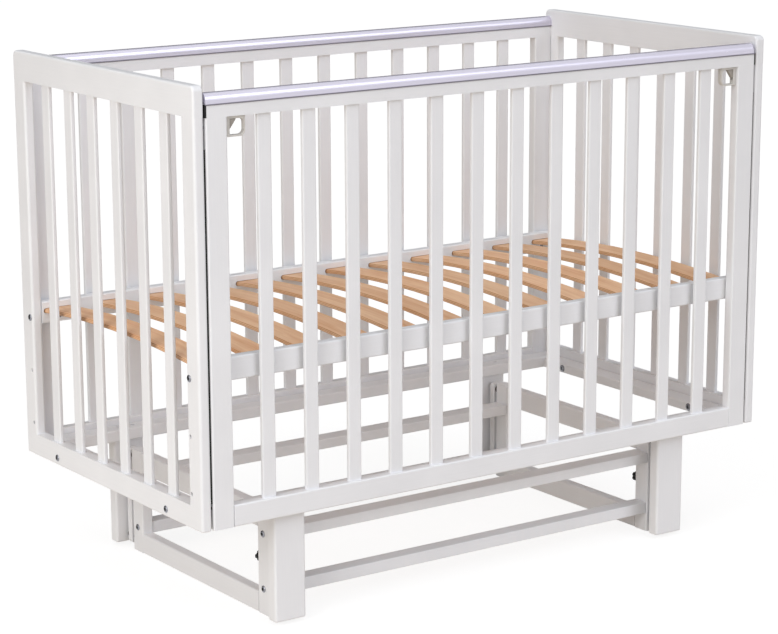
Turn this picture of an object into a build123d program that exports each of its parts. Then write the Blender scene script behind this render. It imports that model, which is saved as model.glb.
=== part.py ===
from build123d import *
from math import asin, degrees
import os

# A baby's crib with slatted sides, hung on four swing links from a low stand.
# Sizes are in millimetres. X runs along the crib, Y from the drop side to the back, Z up from the floor.

# The space for the mattress sets the length and the width of the whole body.
inside_length = 1210
inside_width = 600
board = 20
half_inside_x = inside_length / 2
half_inside_y = inside_width / 2
half_x = half_inside_x + board
half_y = half_inside_y + board

# Heights: the floor is at zero, and the body hangs clear of it.
body_base = 206.5
end_height = 754
end_top_height = 53
end_bottom_height = 41
end_top = body_base + end_height
end_top_seat = end_top - end_top_height
end_bottom_seat = body_base + end_bottom_height

# Frame members seen from outside, and their rounded edges.
stile = 41
edge = 5
soft_edge = 3
end_corner = 10

# Blind joints: tenons and slat ends sit this deep.
tenon_thick = 8
tenon_deep = 18
end_tenon_y = (16, 36)
stand_tenon_half = 6
slat_deep = 10
slat_wide = 27
slat_thick = 8
slat_edge = 2.5
end_slats = 6
end_slat_pitch = 84
side_slats = 12
side_slat_pitch = 88.3

# Back and drop side, measured up from the underside of the body.
side_rail_low = body_base + 699.5
side_rail_high = body_base + 739
side_bottom_height = 38.5
cover_thick = 2
cover_low = body_base + 722.5
cover_end_round = 7
side_gap = 3.6
rail_end_gap = 5.5
cover_gap = 2.5

# The drop side hangs in the front edge of the end frames; this is the middle of its thickness.
drop_centre_y = -half_y + board / 2
guide_groove_wide = 7
guide_groove_deep = 8
guide_groove_low = body_base + 500
guide_groove_high = body_base + 725

# Guide track in the outer edge of each drop side stile, and the pin that runs in it.
track_groove_wide = 8
track_groove_deep = 9
track_low = body_base + 47
track_high = body_base + 647.5
track_flange_wide = 12
track_flange_thick = 2.8
track_slot_wide = 5.6
track_floor = 1.5
pin_radius = 2.5
pin_stem_radius = 2
pin_reach = 10
pin_height = body_base + 38

# Guide blocks on the ends of the drop side's top rail.
guide_block_wide = 19.6
guide_plate_thick = 3.5
guide_plate_edge = 1.5
guide_block_low = body_base + 700
guide_block_high = body_base + 721
guide_tongue_wide = 6.4
guide_tongue_reach = 7.6
guide_peg_radius = 3
guide_peg_length = 7

# Latches under the top rail: a finger ring with a sprung trigger that draws a bolt through the stile.
ring_inner_x = half_inside_x - 82
ring_outer_x = half_inside_x - 44.6
ring_low = body_base + 664.6
ring_thick = 12
ring_corner = 10.5
ring_wall = 2.2
ring_hole_x = (ring_inner_x + ring_wall, ring_outer_x - 5)
ring_hole_z = (body_base + 667.8, body_base + 694)
ring_hole_corner = 2
ring_rim_edge = 0.8
trigger_thick = 6
trigger_room = 0.5
trigger_top = body_base + 693
trigger_low = body_base + 677
trigger_root_x = half_inside_x - 47
trigger_nose = 14
latch_height = body_base + 684
latch_bolt_radius = 3
latch_bore_radius = 3.3
latch_travel = 6.5
latch_bolt_play = 0.3
latch_bolt_root = half_inside_x - 51
latch_collar_radius = 4.3
latch_collar_thick = 2
latch_collar_x = half_inside_x - 20
latch_spring_bore_radius = 4.6
latch_spring_play = 0.5
lock_hole_deep = 6

# Ledger frame under the body, and the boards that hang from it.
ledger_low = body_base + 4
ledger_high = body_base + 27
end_ledger_high = body_base + 23
ledger_wide = 38
drop_clearance = 1.5
end_ledger_wide = 40
hanger_x = 435
hanger_wide = 64
hanger_thick = 24.7
hanger_low = 8
hanger_outer_y = half_inside_y - 3.8
hanger_bolt_spread = 32
hanger_bolt_length = 70
hanger_head_radius = 4.5
hanger_head_sunk = 5
ledger_bolt_y = 199
ledger_bolt_length = 58
sleeve_length = 18
sleeve_flange_radius = 7.5
sleeve_flange_thick = 1.5

# Bed base: two rails bolted to the ends, with crowned lamellas let into them.
bed_rail_low = body_base + 250
bed_rail_high = body_base + 291
bed_rail_thick = 20
lamellas = 12
lamella_pitch = 104
lamella_wide = 54
lamella_thick = 8
lamella_crown = 15
lamella_slot_wide = 60
lamella_slot_high = 10
lamella_slot_deep = 12
lamella_slot_z = body_base + 273.5
lamella_end_play = 1.5
bed_bolt_z = body_base + 262.6
bed_bolt_length = 68
bed_bore_length = 72
bed_nut_reach = 56
spare_level_z = (body_base + 162.3, body_base + 62)
level_hole_radius = 3.5

# Stand: two end frames of posts and cross rails, tied by four long bars.
post_wide = 22.6
post_deep = 36.5
post_y = 225
post_top = 199.5
foot_rail_high = 38.5
head_rail_low = 158.5
head_rail_high = 198.5
head_bar_z = (139.5, 159)
head_bar_wide = 38
foot_bar_z = (36.5, 58.5)
foot_bar_wide = 32
bar_end_round = 3
stand_bolt_length = 62
stand_nut_reach = 30
stand_nut_inset = 2

# Swing links, one at each corner, between a stand post and a hanging board.
link_wide = 22
link_thick = 14
link_y = 257.4
link_z = (9, 197.5)
link_corner = 7
upper_pivot_z = 184.5
lower_pivot_z = 22.5
pivot_radius = 4
pivot_bore_radius = 4.08
pivot_head_radius = 7
pivot_head_high = 3.5
spacer_radius = 8
upper_pivot_length = 85
lower_pivot_length = 40
side_play = 0.2

# Lock knobs on the inner faces of the front posts.
knob_z = 100.5
knob_radius = 10
knob_thick = 11
knob_lobes = 5
knob_bite_radius = 4.5
knob_bite_from = 12.6
knob_hub_radius = 6
knob_hub_high = 2
knob_stud_radius = 3
knob_stud_play = 0.3
small_chamfer = 1

# Bolts and the nuts that take them.
bolt_radius = 3
bolt_bore_radius = 3.5
bolt_head_radius = 6.3
bolt_head_high = 2.5
bolt_head_bevel = 1.4
nut_radius = 5
nut_half_length = 7


def bar(x, y, z):
    """A straight bar between two limits on each axis."""
    centre = ((x[0] + x[1]) / 2, (y[0] + y[1]) / 2, (z[0] + z[1]) / 2)
    return Pos(*centre) * Box(x[1] - x[0], y[1] - y[0], z[1] - z[0])


def rounded_bar(x, y, z, along, radius):
    """A bar with the four edges that run along one axis rounded."""
    plain = bar(x, y, z)
    return fillet(plain.edges().filter_by(along), radius)


def round_rod(start, direction, radius, length):
    """A round rod from a point along a direction."""
    return extrude(Plane(start, z_dir=direction) * Circle(radius), length)


def joined(shapes):
    """Several pieces fused into one solid."""
    result = shapes[0]
    for shape in shapes[1:]:
        result += shape
    return result


def cut(body, tools):
    """A solid with each tool taken out of it."""
    for tool in tools:
        body -= tool
    return body


def flip_x(shapes):
    """The same pieces on the other end of the crib."""
    return [mirror(shape, about=Plane.YZ) for shape in shapes]


def flip_y(shapes):
    """The same pieces on the other side of the crib."""
    return [mirror(shape, about=Plane.XZ) for shape in shapes]


def bolt(seat, direction, length, head_radius=bolt_head_radius, head_high=bolt_head_high, radius=bolt_radius):
    """A low round-headed bolt: its head sits on the seat and its shank runs along the direction."""
    outward = tuple(-part for part in direction)
    head = round_rod(seat, outward, head_radius, head_high)
    rim = head.edges().filter_by(GeomType.CIRCLE).sort_by(Axis(seat, outward))[-1]
    return chamfer(rim, bolt_head_bevel) + round_rod(seat, direction, radius, length)


def barrel_nut(centre, direction, shank, half_length=nut_half_length):
    """A cross nut: a short rod across a bolt, bored where the bolt runs through it."""
    start = tuple(c - half_length * d for c, d in zip(centre, direction))
    return round_rod(start, direction, nut_radius, 2 * half_length) - shank


# End frames

def end_slat_set():
    """Upright slats of the left end, let into both of its rails."""
    x = (-half_x + (board - slat_thick) / 2, -half_x + (board + slat_thick) / 2)
    z = (end_bottom_seat - slat_deep, end_top_seat + slat_deep)
    slats = []
    for number in range(end_slats):
        y = (number - (end_slats - 1) / 2) * end_slat_pitch
        slats.append(rounded_bar(x, (y - slat_wide / 2, y + slat_wide / 2), z, Axis.Z, slat_edge))
    return slats


def end_tenons(y):
    """The tenons on both ends of a post, one at each joint with the rails."""
    x = (-half_x + (board - tenon_thick) / 2, -half_x + (board + tenon_thick) / 2)
    return [
        bar(x, y, (end_bottom_seat - tenon_deep, end_bottom_seat)),
        bar(x, y, (end_top_seat, end_top_seat + tenon_deep)),
    ]


def guide_groove():
    """The stopped groove in the front post's inner face where the drop side's tongue and bolt run."""
    length = guide_groove_high - guide_groove_low
    outline = SlotOverall(length, guide_groove_wide, rotation=90)
    place = Plane((-half_inside_x, drop_centre_y, guide_groove_low + length / 2), x_dir=(0, -1, 0), z_dir=(-1, 0, 0))
    return extrude(place * outline, guide_groove_deep)


def level_holes(y):
    """Three through holes in a post, one for each height of the bed base."""
    heights = (bed_bolt_z,) + spare_level_z
    return [round_rod((-half_x, y, z), (1, 0, 0), level_hole_radius, board) for z in heights]


def end_posts(tenons):
    """Front and back post of the left end."""
    z = (end_bottom_seat, end_top_seat)
    x = (-half_x, -half_inside_x)
    bed_y = half_inside_y - drop_clearance - bed_rail_thick / 2
    front = rounded_bar(x, (-half_y, -half_y + stile), z, Axis.Z, edge)
    front = joined([front] + tenons)
    lock_hole = round_rod((-half_inside_x, drop_centre_y, latch_height), (-1, 0, 0),
                          latch_bore_radius, guide_groove_deep + lock_hole_deep)
    front = cut(front, [guide_groove(), lock_hole] + level_holes(-bed_y))
    back = rounded_bar(x, (half_y - stile, half_y), z, Axis.Z, edge)
    back = joined([back] + flip_y(tenons))
    back = cut(back, level_holes(bed_y))
    return [front, back]


def end_top_rail(joints):
    """Top rail of the left end: full width, with rounded shoulders."""
    outline = Rectangle(2 * half_y, end_top_height)
    outline = fillet(outline.vertices().group_by(Axis.Y)[-1], end_corner)
    place = Plane((-half_x, 0, end_top - end_top_height / 2), x_dir=(0, 1, 0), z_dir=(1, 0, 0))
    rail = extrude(place * outline, board)
    rims = [line for line in rail.edges() if abs(line.tangent_at(0).X) < 0.5 and line.center().Z > end_top_seat + 1]
    rail = fillet(rims, edge - 1)
    return cut(rail, joints + [guide_groove()])


def end_bottom_rail(joints):
    """Bottom rail of the left end, full width, bored for the two ledger bolts and the guide pin."""
    z = (body_base, end_bottom_seat)
    rail = rounded_bar((-half_x, -half_inside_x), (-half_y, half_y), z, Axis.Z, edge)
    lower = [line for line in rail.edges() if line.center().Z < body_base + 1]
    rail = fillet(lower, soft_edge)
    return cut(rail, joints + ledger_bolt_bores() + [guide_pin_stem()])


def guide_pin_stem():
    """The stem that holds the lower guide pin in the end's bottom rail."""
    return round_rod((-half_inside_x - pin_reach, drop_centre_y, pin_height), (1, 0, 0), pin_stem_radius, pin_reach)


def guide_pin():
    """The black pin that stands out of the left end into the drop side's track."""
    pin = round_rod((-half_inside_x, drop_centre_y, pin_height), (1, 0, 0), pin_radius, pin_reach)
    return pin + guide_pin_stem()


# Ledger frame and hanging boards

def ledger_bolt_places():
    """Places on the left end's outer face of the two bolts into the end ledger."""
    height = (ledger_low + end_ledger_high) / 2
    return [(-half_x, y, height) for y in (-ledger_bolt_y, ledger_bolt_y)]


def ledger_bolt_bores():
    """Bores for the ledger bolts through the bottom rail and the end ledger."""
    length = board + end_ledger_wide
    return [round_rod(seat, (1, 0, 0), bolt_bore_radius, length) for seat in ledger_bolt_places()]


def ledger_bolts():
    """Round-headed bolts through the left end into its ledger."""
    return [bolt(seat, (1, 0, 0), ledger_bolt_length) for seat in ledger_bolt_places()]


def sleeve_nuts(bolts):
    """Flanged sleeve nuts on the inner face of the left end ledger."""
    nuts = []
    for seat in ledger_bolt_places():
        face = (-half_inside_x + end_ledger_wide, seat[1], seat[2])
        sleeve = round_rod(face, (-1, 0, 0), nut_radius, sleeve_length)
        flange = round_rod(face, (1, 0, 0), sleeve_flange_radius, sleeve_flange_thick)
        nuts.append(cut(sleeve + flange, bolts))
    return nuts


def end_ledger(tools):
    """Ledger along the left end, between the two long ledgers."""
    x = (-half_inside_x, -half_inside_x + end_ledger_wide)
    y = (-half_inside_y + drop_clearance + ledger_wide, half_inside_y - ledger_wide)
    ledger = rounded_bar(x, y, (ledger_low, end_ledger_high), Axis.Y, soft_edge)
    return cut(ledger, ledger_bolt_bores() + tools)


def hanger_bolt_places(y):
    """Seats of the bolts that are sunk in a long ledger, two over each hanging board."""
    seat = ledger_high - hanger_head_sunk
    return [(side * hanger_x + way * hanger_bolt_spread / 2, y, seat) for side in (-1, 1) for way in (-1, 1)]


def hanger_bolts(y):
    """Bolts down through a long ledger into the end grain of its two hanging boards."""
    return [bolt(seat, (0, 0, -1), hanger_bolt_length, head_radius=hanger_head_radius) for seat in hanger_bolt_places(y)]


def hanger_sinks(y):
    """Round sinks over the bolts in a long ledger's top."""
    return [round_rod(seat, (0, 0, 1), hanger_head_radius, hanger_head_sunk) for seat in hanger_bolt_places(y)]


def long_ledger(y, bolts):
    """A ledger along the whole inside length, bored and sunk for the hanging boards' bolts."""
    x = (-half_inside_x, half_inside_x)
    ledger = rounded_bar(x, y, (ledger_low, ledger_high), Axis.X, soft_edge)
    return cut(ledger, bolts + hanger_sinks(bolts[0].center().Y))


def hanging_board(x, y_limits, tools):
    """A wide board hanging from a ledger almost to the floor."""
    wide = (x - hanger_wide / 2, x + hanger_wide / 2)
    plain = rounded_bar(wide, y_limits, (hanger_low, ledger_low), Axis.Z, edge)
    lower = [line for line in plain.edges() if line.center().Z < hanger_low + 1]
    return cut(fillet(lower, soft_edge), tools)


# Bed base

def lamella():
    """One crowned wooden lamella: a rounded section swept along a shallow arc from rail to rail."""
    reach = half_inside_y - drop_clearance - bed_rail_thick + lamella_slot_deep - lamella_end_play
    radius = (reach ** 2 + lamella_crown ** 2) / (2 * lamella_crown)
    half_angle = degrees(asin(reach / radius))
    foot = lamella_slot_z - (lamella_slot_high - lamella_thick) / 2
    section = Plane.XZ * Pos(0, radius) * RectangleRounded(lamella_wide, lamella_thick, lamella_thick / 4)
    arch = revolve(section, Axis.X, 2 * half_angle)
    return Pos(0, 0, foot + lamella_crown - radius) * Rot(-half_angle, 0, 0) * arch


def lamella_places():
    """Positions of the lamellas along the bed."""
    return [(number - (lamellas - 1) / 2) * lamella_pitch for number in range(lamellas)]


def lamella_slots():
    """The round-ended slots in the front bed rail's inner face."""
    inner = -half_inside_y + drop_clearance + bed_rail_thick
    outline = SlotOverall(lamella_slot_wide, lamella_slot_high)
    slots = []
    for x in lamella_places():
        place = Plane((x, inner, lamella_slot_z), x_dir=(-1, 0, 0), z_dir=(0, -1, 0))
        slots.append(extrude(place * outline, lamella_slot_deep))
    return slots


def bed_bolt_left():
    """The bolt through the left front post into the bed rail's end grain."""
    y = -half_inside_y + drop_clearance + bed_rail_thick / 2
    return bolt((-half_x, y, bed_bolt_z), (1, 0, 0), bed_bolt_length)


def bed_nut_left(shank):
    """The cross nut in the bed rail that takes the bed bolt."""
    y = -half_inside_y + drop_clearance + bed_rail_thick / 2
    return barrel_nut((-half_x + bed_nut_reach, y, bed_bolt_z), (0, 1, 0), shank)


def bed_rail(bolts):
    """Front rail of the bed base, slotted for the lamellas and bored at both ends."""
    y = (-half_inside_y + drop_clearance, -half_inside_y + drop_clearance + bed_rail_thick)
    x = (-half_inside_x, half_inside_x)
    rail = rounded_bar(x, y, (bed_rail_low, bed_rail_high), Axis.X, soft_edge)
    middle = (y[0] + y[1]) / 2
    bores = [round_rod((-half_x, middle, bed_bolt_z), (1, 0, 0), bolt_bore_radius, bed_bore_length)]
    nut_seat = (-half_x + bed_nut_reach, middle - nut_half_length, bed_bolt_z)
    bores.append(round_rod(nut_seat, (0, 1, 0), nut_radius, board))
    return cut(rail, lamella_slots() + bores + flip_x(bores))


# Back side and drop side

def side_slat_set(centre_y):
    """Upright slats of a long side, let into its two rails."""
    y = (centre_y - slat_thick / 2, centre_y + slat_thick / 2)
    z = (body_base + side_bottom_height - slat_deep, side_rail_low + slat_deep)
    slats = []
    for number in range(side_slats):
        x = (number - (side_slats - 1) / 2) * side_slat_pitch
        slats.append(rounded_bar((x - slat_wide / 2, x + slat_wide / 2), y, z, Axis.Z, slat_edge))
    return slats


def side_stile(outer_x, centre_y):
    """Left stile of a long side with the tenon that enters the top rail."""
    x = (-outer_x, -outer_x + stile)
    y = (centre_y - board / 2, centre_y + board / 2)
    stem = rounded_bar(x, y, (body_base, side_rail_low), Axis.Z, soft_edge)
    tenon = bar((x[0] + stile / 4, x[1] - stile / 4), (centre_y - tenon_thick / 2, centre_y + tenon_thick / 2),
                (side_rail_low, side_rail_low + tenon_deep))
    return stem + tenon


def side_bottom_rail(inner_x, centre_y, slats):
    """Bottom rail of a long side, with a tenon at each end and a mortise for each slat."""
    y = (centre_y - board / 2, centre_y + board / 2)
    z = (body_base, body_base + side_bottom_height)
    rail = rounded_bar((-inner_x, inner_x), y, z, Axis.X, soft_edge)
    reach = inner_x + tenon_deep
    tenon = bar((-reach, reach), (centre_y - tenon_thick / 2, centre_y + tenon_thick / 2),
                (z[0] + tenon_thick, z[1] - tenon_thick))
    return cut(rail + tenon, slats)


def crowned_bar(half_length, centre_y, half_wide, low):
    """A bar along the crib with a half-round top, centred on the axis of a top rail's crown."""
    axis_z = side_rail_high - board / 2
    front, back = centre_y - half_wide, centre_y + half_wide
    with BuildSketch(Plane.YZ.offset(-half_length)) as section:
        with BuildLine():
            Polyline((front, axis_z), (front, low), (back, low), (back, axis_z))
            ThreePointArc((front, axis_z), (centre_y, axis_z + half_wide), (back, axis_z))
        make_face()
    return extrude(section.sketch, 2 * half_length)


def side_top_rail(half_length, centre_y, joints):
    """Top rail of a long side with its half-round top, mortised for stiles and slats."""
    return cut(crowned_bar(half_length, centre_y, board / 2, side_rail_low), joints)


def back_cover():
    """The moulded cover clipped over the back's top rail: a thin channel with a round crown."""
    centre_y = half_inside_y + board / 2
    shell = crowned_bar(half_inside_x, centre_y, board / 2 + cover_thick, cover_low)
    return shell - crowned_bar(half_inside_x, centre_y, board / 2, side_rail_low)


def drop_cover(rail_end):
    """The drop side's cover, which also closes over the rail's ends with a rounded cap."""
    half_length = half_inside_x - cover_gap
    shell = crowned_bar(half_length, drop_centre_y, board / 2 + cover_thick, cover_low)
    for end in shell.faces().sort_by(Axis.X)[::len(shell.faces()) - 1]:
        rim = [line for line in end.edges() if line.center().Z > cover_low + cover_thick]
        shell = fillet(rim, cover_end_round)
    return shell - crowned_bar(rail_end, drop_centre_y, board / 2, side_rail_low)


def track_groove(stile_edge):
    """The groove routed in the outer edge of the drop side's left stile."""
    y = (drop_centre_y - track_groove_wide / 2, drop_centre_y + track_groove_wide / 2)
    return bar((-stile_edge, -stile_edge + track_groove_deep), y, (body_base, track_high))


def guide_track(stile_edge):
    """The black track in that groove: a channel with a flange along each lip."""
    y = (drop_centre_y - track_groove_wide / 2, drop_centre_y + track_groove_wide / 2)
    flange_y = (drop_centre_y - track_flange_wide / 2, drop_centre_y + track_flange_wide / 2)
    slot_y = (drop_centre_y - track_slot_wide / 2, drop_centre_y + track_slot_wide / 2)
    z = (track_low, track_high)
    channel = bar((-stile_edge, -stile_edge + track_groove_deep), y, z)
    flange = bar((-stile_edge - track_flange_thick, -stile_edge), flange_y, z)
    slot = bar((-stile_edge - track_flange_thick, -stile_edge + track_groove_deep - track_floor), slot_y, z)
    return channel + flange - slot


def guide_block(rail_end):
    """The black block on the left end of the top rail, with a tongue outward and a peg inward."""
    y = (drop_centre_y - guide_block_wide / 2, drop_centre_y + guide_block_wide / 2)
    tongue_y = (drop_centre_y - guide_tongue_wide / 2, drop_centre_y + guide_tongue_wide / 2)
    face = rail_end + guide_plate_thick
    plate = rounded_bar((-face, -rail_end), y, (guide_block_low, guide_block_high), Axis.X, guide_plate_edge)
    tongue_z = (guide_block_low + guide_plate_edge, guide_block_high - guide_plate_edge)
    tongue = bar((-half_inside_x - guide_tongue_reach, -face), tongue_y, tongue_z)
    return plate + tongue + guide_peg(rail_end)


def guide_peg(rail_end):
    """The round peg that fixes a guide block in the end of the top rail."""
    centre = (-rail_end, drop_centre_y, (guide_block_low + guide_block_high) / 2)
    return round_rod(centre, (1, 0, 0), guide_peg_radius, guide_peg_length)


def latch_ring():
    """The left latch's housing: a finger ring with one large round corner, and a pocket for the trigger."""
    with BuildSketch(Plane.XZ.offset(-drop_centre_y)) as outline:
        with BuildLine():
            Polyline((-ring_outer_x, ring_low), (-ring_outer_x, side_rail_low), (-ring_inner_x, side_rail_low),
                     (-ring_inner_x, ring_low), close=True)
        make_face()
        corner = outline.vertices().group_by(Axis.Y)[0].sort_by(Axis.X)[-1]
        fillet(corner, ring_corner)
    ring = extrude(outline.sketch, ring_thick / 2, both=True)
    hole = bar((-ring_hole_x[1], -ring_hole_x[0]),
               (drop_centre_y - ring_thick, drop_centre_y + ring_thick), ring_hole_z)
    inner_edges = hole.edges().filter_by(Axis.Y).sort_by(Axis.X)
    hole = fillet(inner_edges[2:], ring_corner - ring_wall)
    outer_edges = hole.edges().filter_by(Axis.Y).sort_by(Axis.X)
    hole = fillet(outer_edges[:2], ring_hole_corner)
    y = (drop_centre_y - trigger_thick / 2 - trigger_room, drop_centre_y + trigger_thick / 2 + trigger_room)
    pocket = bar((-trigger_root_x - trigger_room, -ring_hole_x[1] + ring_hole_corner), y,
                 (trigger_low - trigger_room, trigger_top + trigger_room))
    rim = ring.edges().filter_by(GeomType.LINE).filter_by(Axis.Z).sort_by(Axis.X)[-2:]
    shank = round_rod((-ring_outer_x, drop_centre_y, latch_height), (1, 0, 0), latch_bore_radius, stile / 2)
    return cut(fillet(rim, ring_rim_edge), [hole, pocket, shank])


def latch_trigger(shank):
    """The left trigger: a wedge whose slope faces the finger hole, socketed for the bolt."""
    x = -trigger_root_x
    wedge = Polygon((x, trigger_low), (x + trigger_nose / 2, trigger_low), (x + trigger_nose, trigger_top),
                    (x, trigger_top), align=None)
    solid = extrude(Plane.XZ.offset(-drop_centre_y) * wedge, trigger_thick / 2, both=True)
    return solid - shank


def latch_bolt():
    """The left latch's bolt, with the collar that its spring pushes on."""
    tip = half_inside_x + guide_groove_deep - latch_bolt_play
    length = tip - latch_bolt_root
    shank = round_rod((-tip, drop_centre_y, latch_height), (1, 0, 0), latch_bolt_radius, length)
    seat = (-latch_collar_x, drop_centre_y, latch_height)
    collar = round_rod(seat, (1, 0, 0), latch_collar_radius, latch_collar_thick)
    return chamfer(shank.edges().sort_by(Axis.X)[0], small_chamfer) + collar


def latch_spring():
    """The spring's space around the left bolt, at its length when the trigger is fully drawn."""
    end = ring_outer_x
    start = latch_collar_x - latch_collar_thick - latch_travel - latch_spring_play
    outer = round_rod((-start, drop_centre_y, latch_height), (1, 0, 0), latch_collar_radius, start - end)
    inner = round_rod((-start, drop_centre_y, latch_height), (1, 0, 0), latch_bore_radius, start - end)
    return outer - inner


def drop_stile(bottom_rail):
    """Left stile of the drop side: tracked on its outer edge and bored for the latch bolt and spring."""
    outer_x = half_inside_x - side_gap
    stem = side_stile(outer_x, drop_centre_y)
    bore = round_rod((-outer_x, drop_centre_y, latch_height), (1, 0, 0), latch_bore_radius, stile)
    spring_room = round_rod((-latch_collar_x - small_chamfer, drop_centre_y, latch_height), (1, 0, 0),
                            latch_spring_bore_radius, stile)
    return cut(stem, [track_groove(outer_x), bore, spring_room, bottom_rail])


# Stand

def stand_post(tools):
    """Left front post of the stand, with a mortise for the foot rail and bores for its bolts."""
    x = (-hanger_x - post_wide / 2, -hanger_x + post_wide / 2)
    y = (-post_y - post_deep / 2, -post_y + post_deep / 2)
    return cut(rounded_bar(x, y, (0, post_top), Axis.Z, soft_edge), tools)


def stand_tenons():
    """Tenons on both ends of a foot rail."""
    x = (-hanger_x - stand_tenon_half, -hanger_x + stand_tenon_half)
    reach = post_y - post_deep / 2 + tenon_deep
    return bar(x, (-reach, reach), (tenon_thick, foot_rail_high - tenon_thick))


def cross_rail(z, tools, tenons=None):
    """A rail across the left end of the stand, between its posts."""
    x = (-hanger_x - post_wide / 2, -hanger_x + post_wide / 2)
    reach = post_y - post_deep / 2
    rail = rounded_bar(x, (-reach, reach), z, Axis.Y, soft_edge)
    if tenons:
        rail += tenons
    return cut(rail, tools)


def stand_bar(wide, z, tools):
    """A long bar between the front posts of the stand."""
    reach = hanger_x - post_wide / 2
    plain = rounded_bar((-reach, reach), (-post_y - wide / 2, -post_y + wide / 2), z, Axis.Z, bar_end_round)
    long_edges = plain.edges().filter_by(GeomType.LINE).filter_by(Axis.X)
    return cut(chamfer(long_edges, small_chamfer), tools)


def stand_bolt(z):
    """The bolt through the left front post into a long bar's end grain."""
    return bolt((-hanger_x - post_wide / 2, -post_y, z), (1, 0, 0), stand_bolt_length)


def stand_nut(z, shank, height):
    """The cross nut upright in the long bar."""
    return barrel_nut((-hanger_x + stand_nut_reach, -post_y, z), (0, 0, 1), shank, height / 2 - stand_nut_inset)


# Swing links

def link():
    """The front left link, a flat arm with rounded ends and two pivot bores."""
    middle = (link_z[0] + link_z[1]) / 2
    outline = RectangleRounded(link_wide, link_z[1] - link_z[0], link_corner)
    place = Plane((-hanger_x, -link_y, middle), x_dir=(1, 0, 0), z_dir=(0, -1, 0))
    arm = extrude(place * outline, link_thick / 2, both=True)
    arm = chamfer(arm.faces().filter_by(Axis.Y).edges(), small_chamfer)
    bores = [round_rod((-hanger_x, -link_y - link_thick, z), (0, 1, 0), pivot_bore_radius, 2 * link_thick)
             for z in (upper_pivot_z, lower_pivot_z)]
    return cut(arm, bores)


def upper_pivot():
    """Pivot screw of the front left link: through the link and the post into the head rail."""
    seat = (-hanger_x, -link_y - link_thick / 2 - side_play, upper_pivot_z)
    return bolt(seat, (0, 1, 0), upper_pivot_length, pivot_head_radius, pivot_head_high, pivot_radius)


def lower_pivot():
    """Pivot screw of the front left link: through the link into the hanging board."""
    seat = (-hanger_x, -link_y + link_thick / 2 + side_play, lower_pivot_z)
    return bolt(seat, (0, -1, 0), lower_pivot_length, pivot_head_radius, pivot_head_high, pivot_radius)


def spacer(y_limits, z, shank):
    """A plain washer sleeve between a link and the wood it swings on."""
    sleeve = round_rod((-hanger_x, y_limits[0], z), (0, 1, 0), spacer_radius, y_limits[1] - y_limits[0])
    return sleeve - shank


# Lock knobs

def lock_knob():
    """A star knob on the left front post, its stud reaching through the post toward the link."""
    face = -post_y + post_deep / 2 + side_play
    place = Plane((-hanger_x, face, knob_z), x_dir=(1, 0, 0), z_dir=(0, 1, 0))
    star = Circle(knob_radius)
    for turn in range(knob_lobes):
        star -= Rot(0, 0, turn * 360 / knob_lobes) * Pos(knob_bite_from, 0) * Circle(knob_bite_radius)
    head = extrude(place.offset(knob_hub_high) * star, knob_thick - knob_hub_high)
    head = chamfer(head.faces().sort_by(Axis.Y)[-1].edges(), small_chamfer)
    hub = extrude(place * Circle(knob_hub_radius), knob_hub_high + small_chamfer)
    return head + hub


def knob_stud():
    """The knob's threaded stud, stopping just short of the link."""
    tip = -link_y + link_thick / 2 + side_play
    root = -post_y + post_deep / 2 + side_play
    return round_rod((-hanger_x, tip, knob_z), (0, 1, 0), knob_stud_radius, root + knob_thick / 2 - tip)


def build_ends(parts):
    slats = end_slat_set()
    tenons = end_tenons((-half_y + end_tenon_y[0], -half_y + end_tenon_y[1]))
    joints = slats + tenons + flip_y(tenons)
    left = {
        "top_rail": [end_top_rail(joints)],
        "bottom_rail": [end_bottom_rail(joints)],
        "posts": end_posts(tenons),
        "slats": slats,
    }
    for name, shapes in left.items():
        parts["end_left_" + name] = shapes
        parts["end_right_" + name] = flip_x(shapes)
    pin = guide_pin()
    parts["guide_pins"] = [pin] + flip_x([pin])


def build_ledgers(parts):
    bolts = ledger_bolts()
    parts["ledger_bolts"] = bolts + flip_x(bolts)
    nuts = sleeve_nuts(bolts)
    parts["ledger_sleeve_nuts"] = nuts + flip_x(nuts)
    end = end_ledger(nuts)
    parts["end_ledgers"] = [end] + flip_x([end])
    back_bolts = hanger_bolts(hanger_outer_y - hanger_thick / 2)
    front_bolts = hanger_bolts(-hanger_outer_y + hanger_thick / 2)
    parts["hanger_bolts"] = front_bolts + back_bolts
    front_y = (-half_inside_y + drop_clearance, -half_inside_y + drop_clearance + ledger_wide)
    parts["ledger_front"] = [long_ledger(front_y, front_bolts)]
    parts["ledger_back"] = [long_ledger((half_inside_y - ledger_wide, half_inside_y), back_bolts)]
    screw = lower_pivot()
    screws = [screw] + flip_x([screw])
    sleeve = spacer((-hanger_outer_y + hanger_thick, -link_y - link_thick / 2 - side_play), lower_pivot_z, screw)
    sleeves = [sleeve] + flip_x([sleeve])
    board_y = (-hanger_outer_y, -hanger_outer_y + hanger_thick)
    front_boards = [hanging_board(side * hanger_x, board_y, front_bolts + screws) for side in (-1, 1)]
    parts["hanging_boards_front"] = front_boards
    parts["hanging_boards_back"] = flip_y(front_boards)
    parts["lower_pivot_screws"] = screws + flip_y(screws)
    parts["lower_pivot_spacers"] = sleeves + flip_y(sleeves)


def build_bed(parts):
    shank = bed_bolt_left()
    nut = bed_nut_left(shank)
    bolts = [shank] + flip_x([shank])
    nuts = [nut] + flip_x([nut])
    rail = bed_rail(bolts)
    arch = lamella()
    parts["bed_rail_front"] = [rail]
    parts["bed_rail_back"] = flip_y([rail])
    parts["bed_lamellas"] = [Pos(x, 0, 0) * arch for x in lamella_places()]
    parts["bed_bolts"] = bolts + flip_y(bolts)
    parts["bed_cross_nuts"] = nuts + flip_y(nuts)


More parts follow.
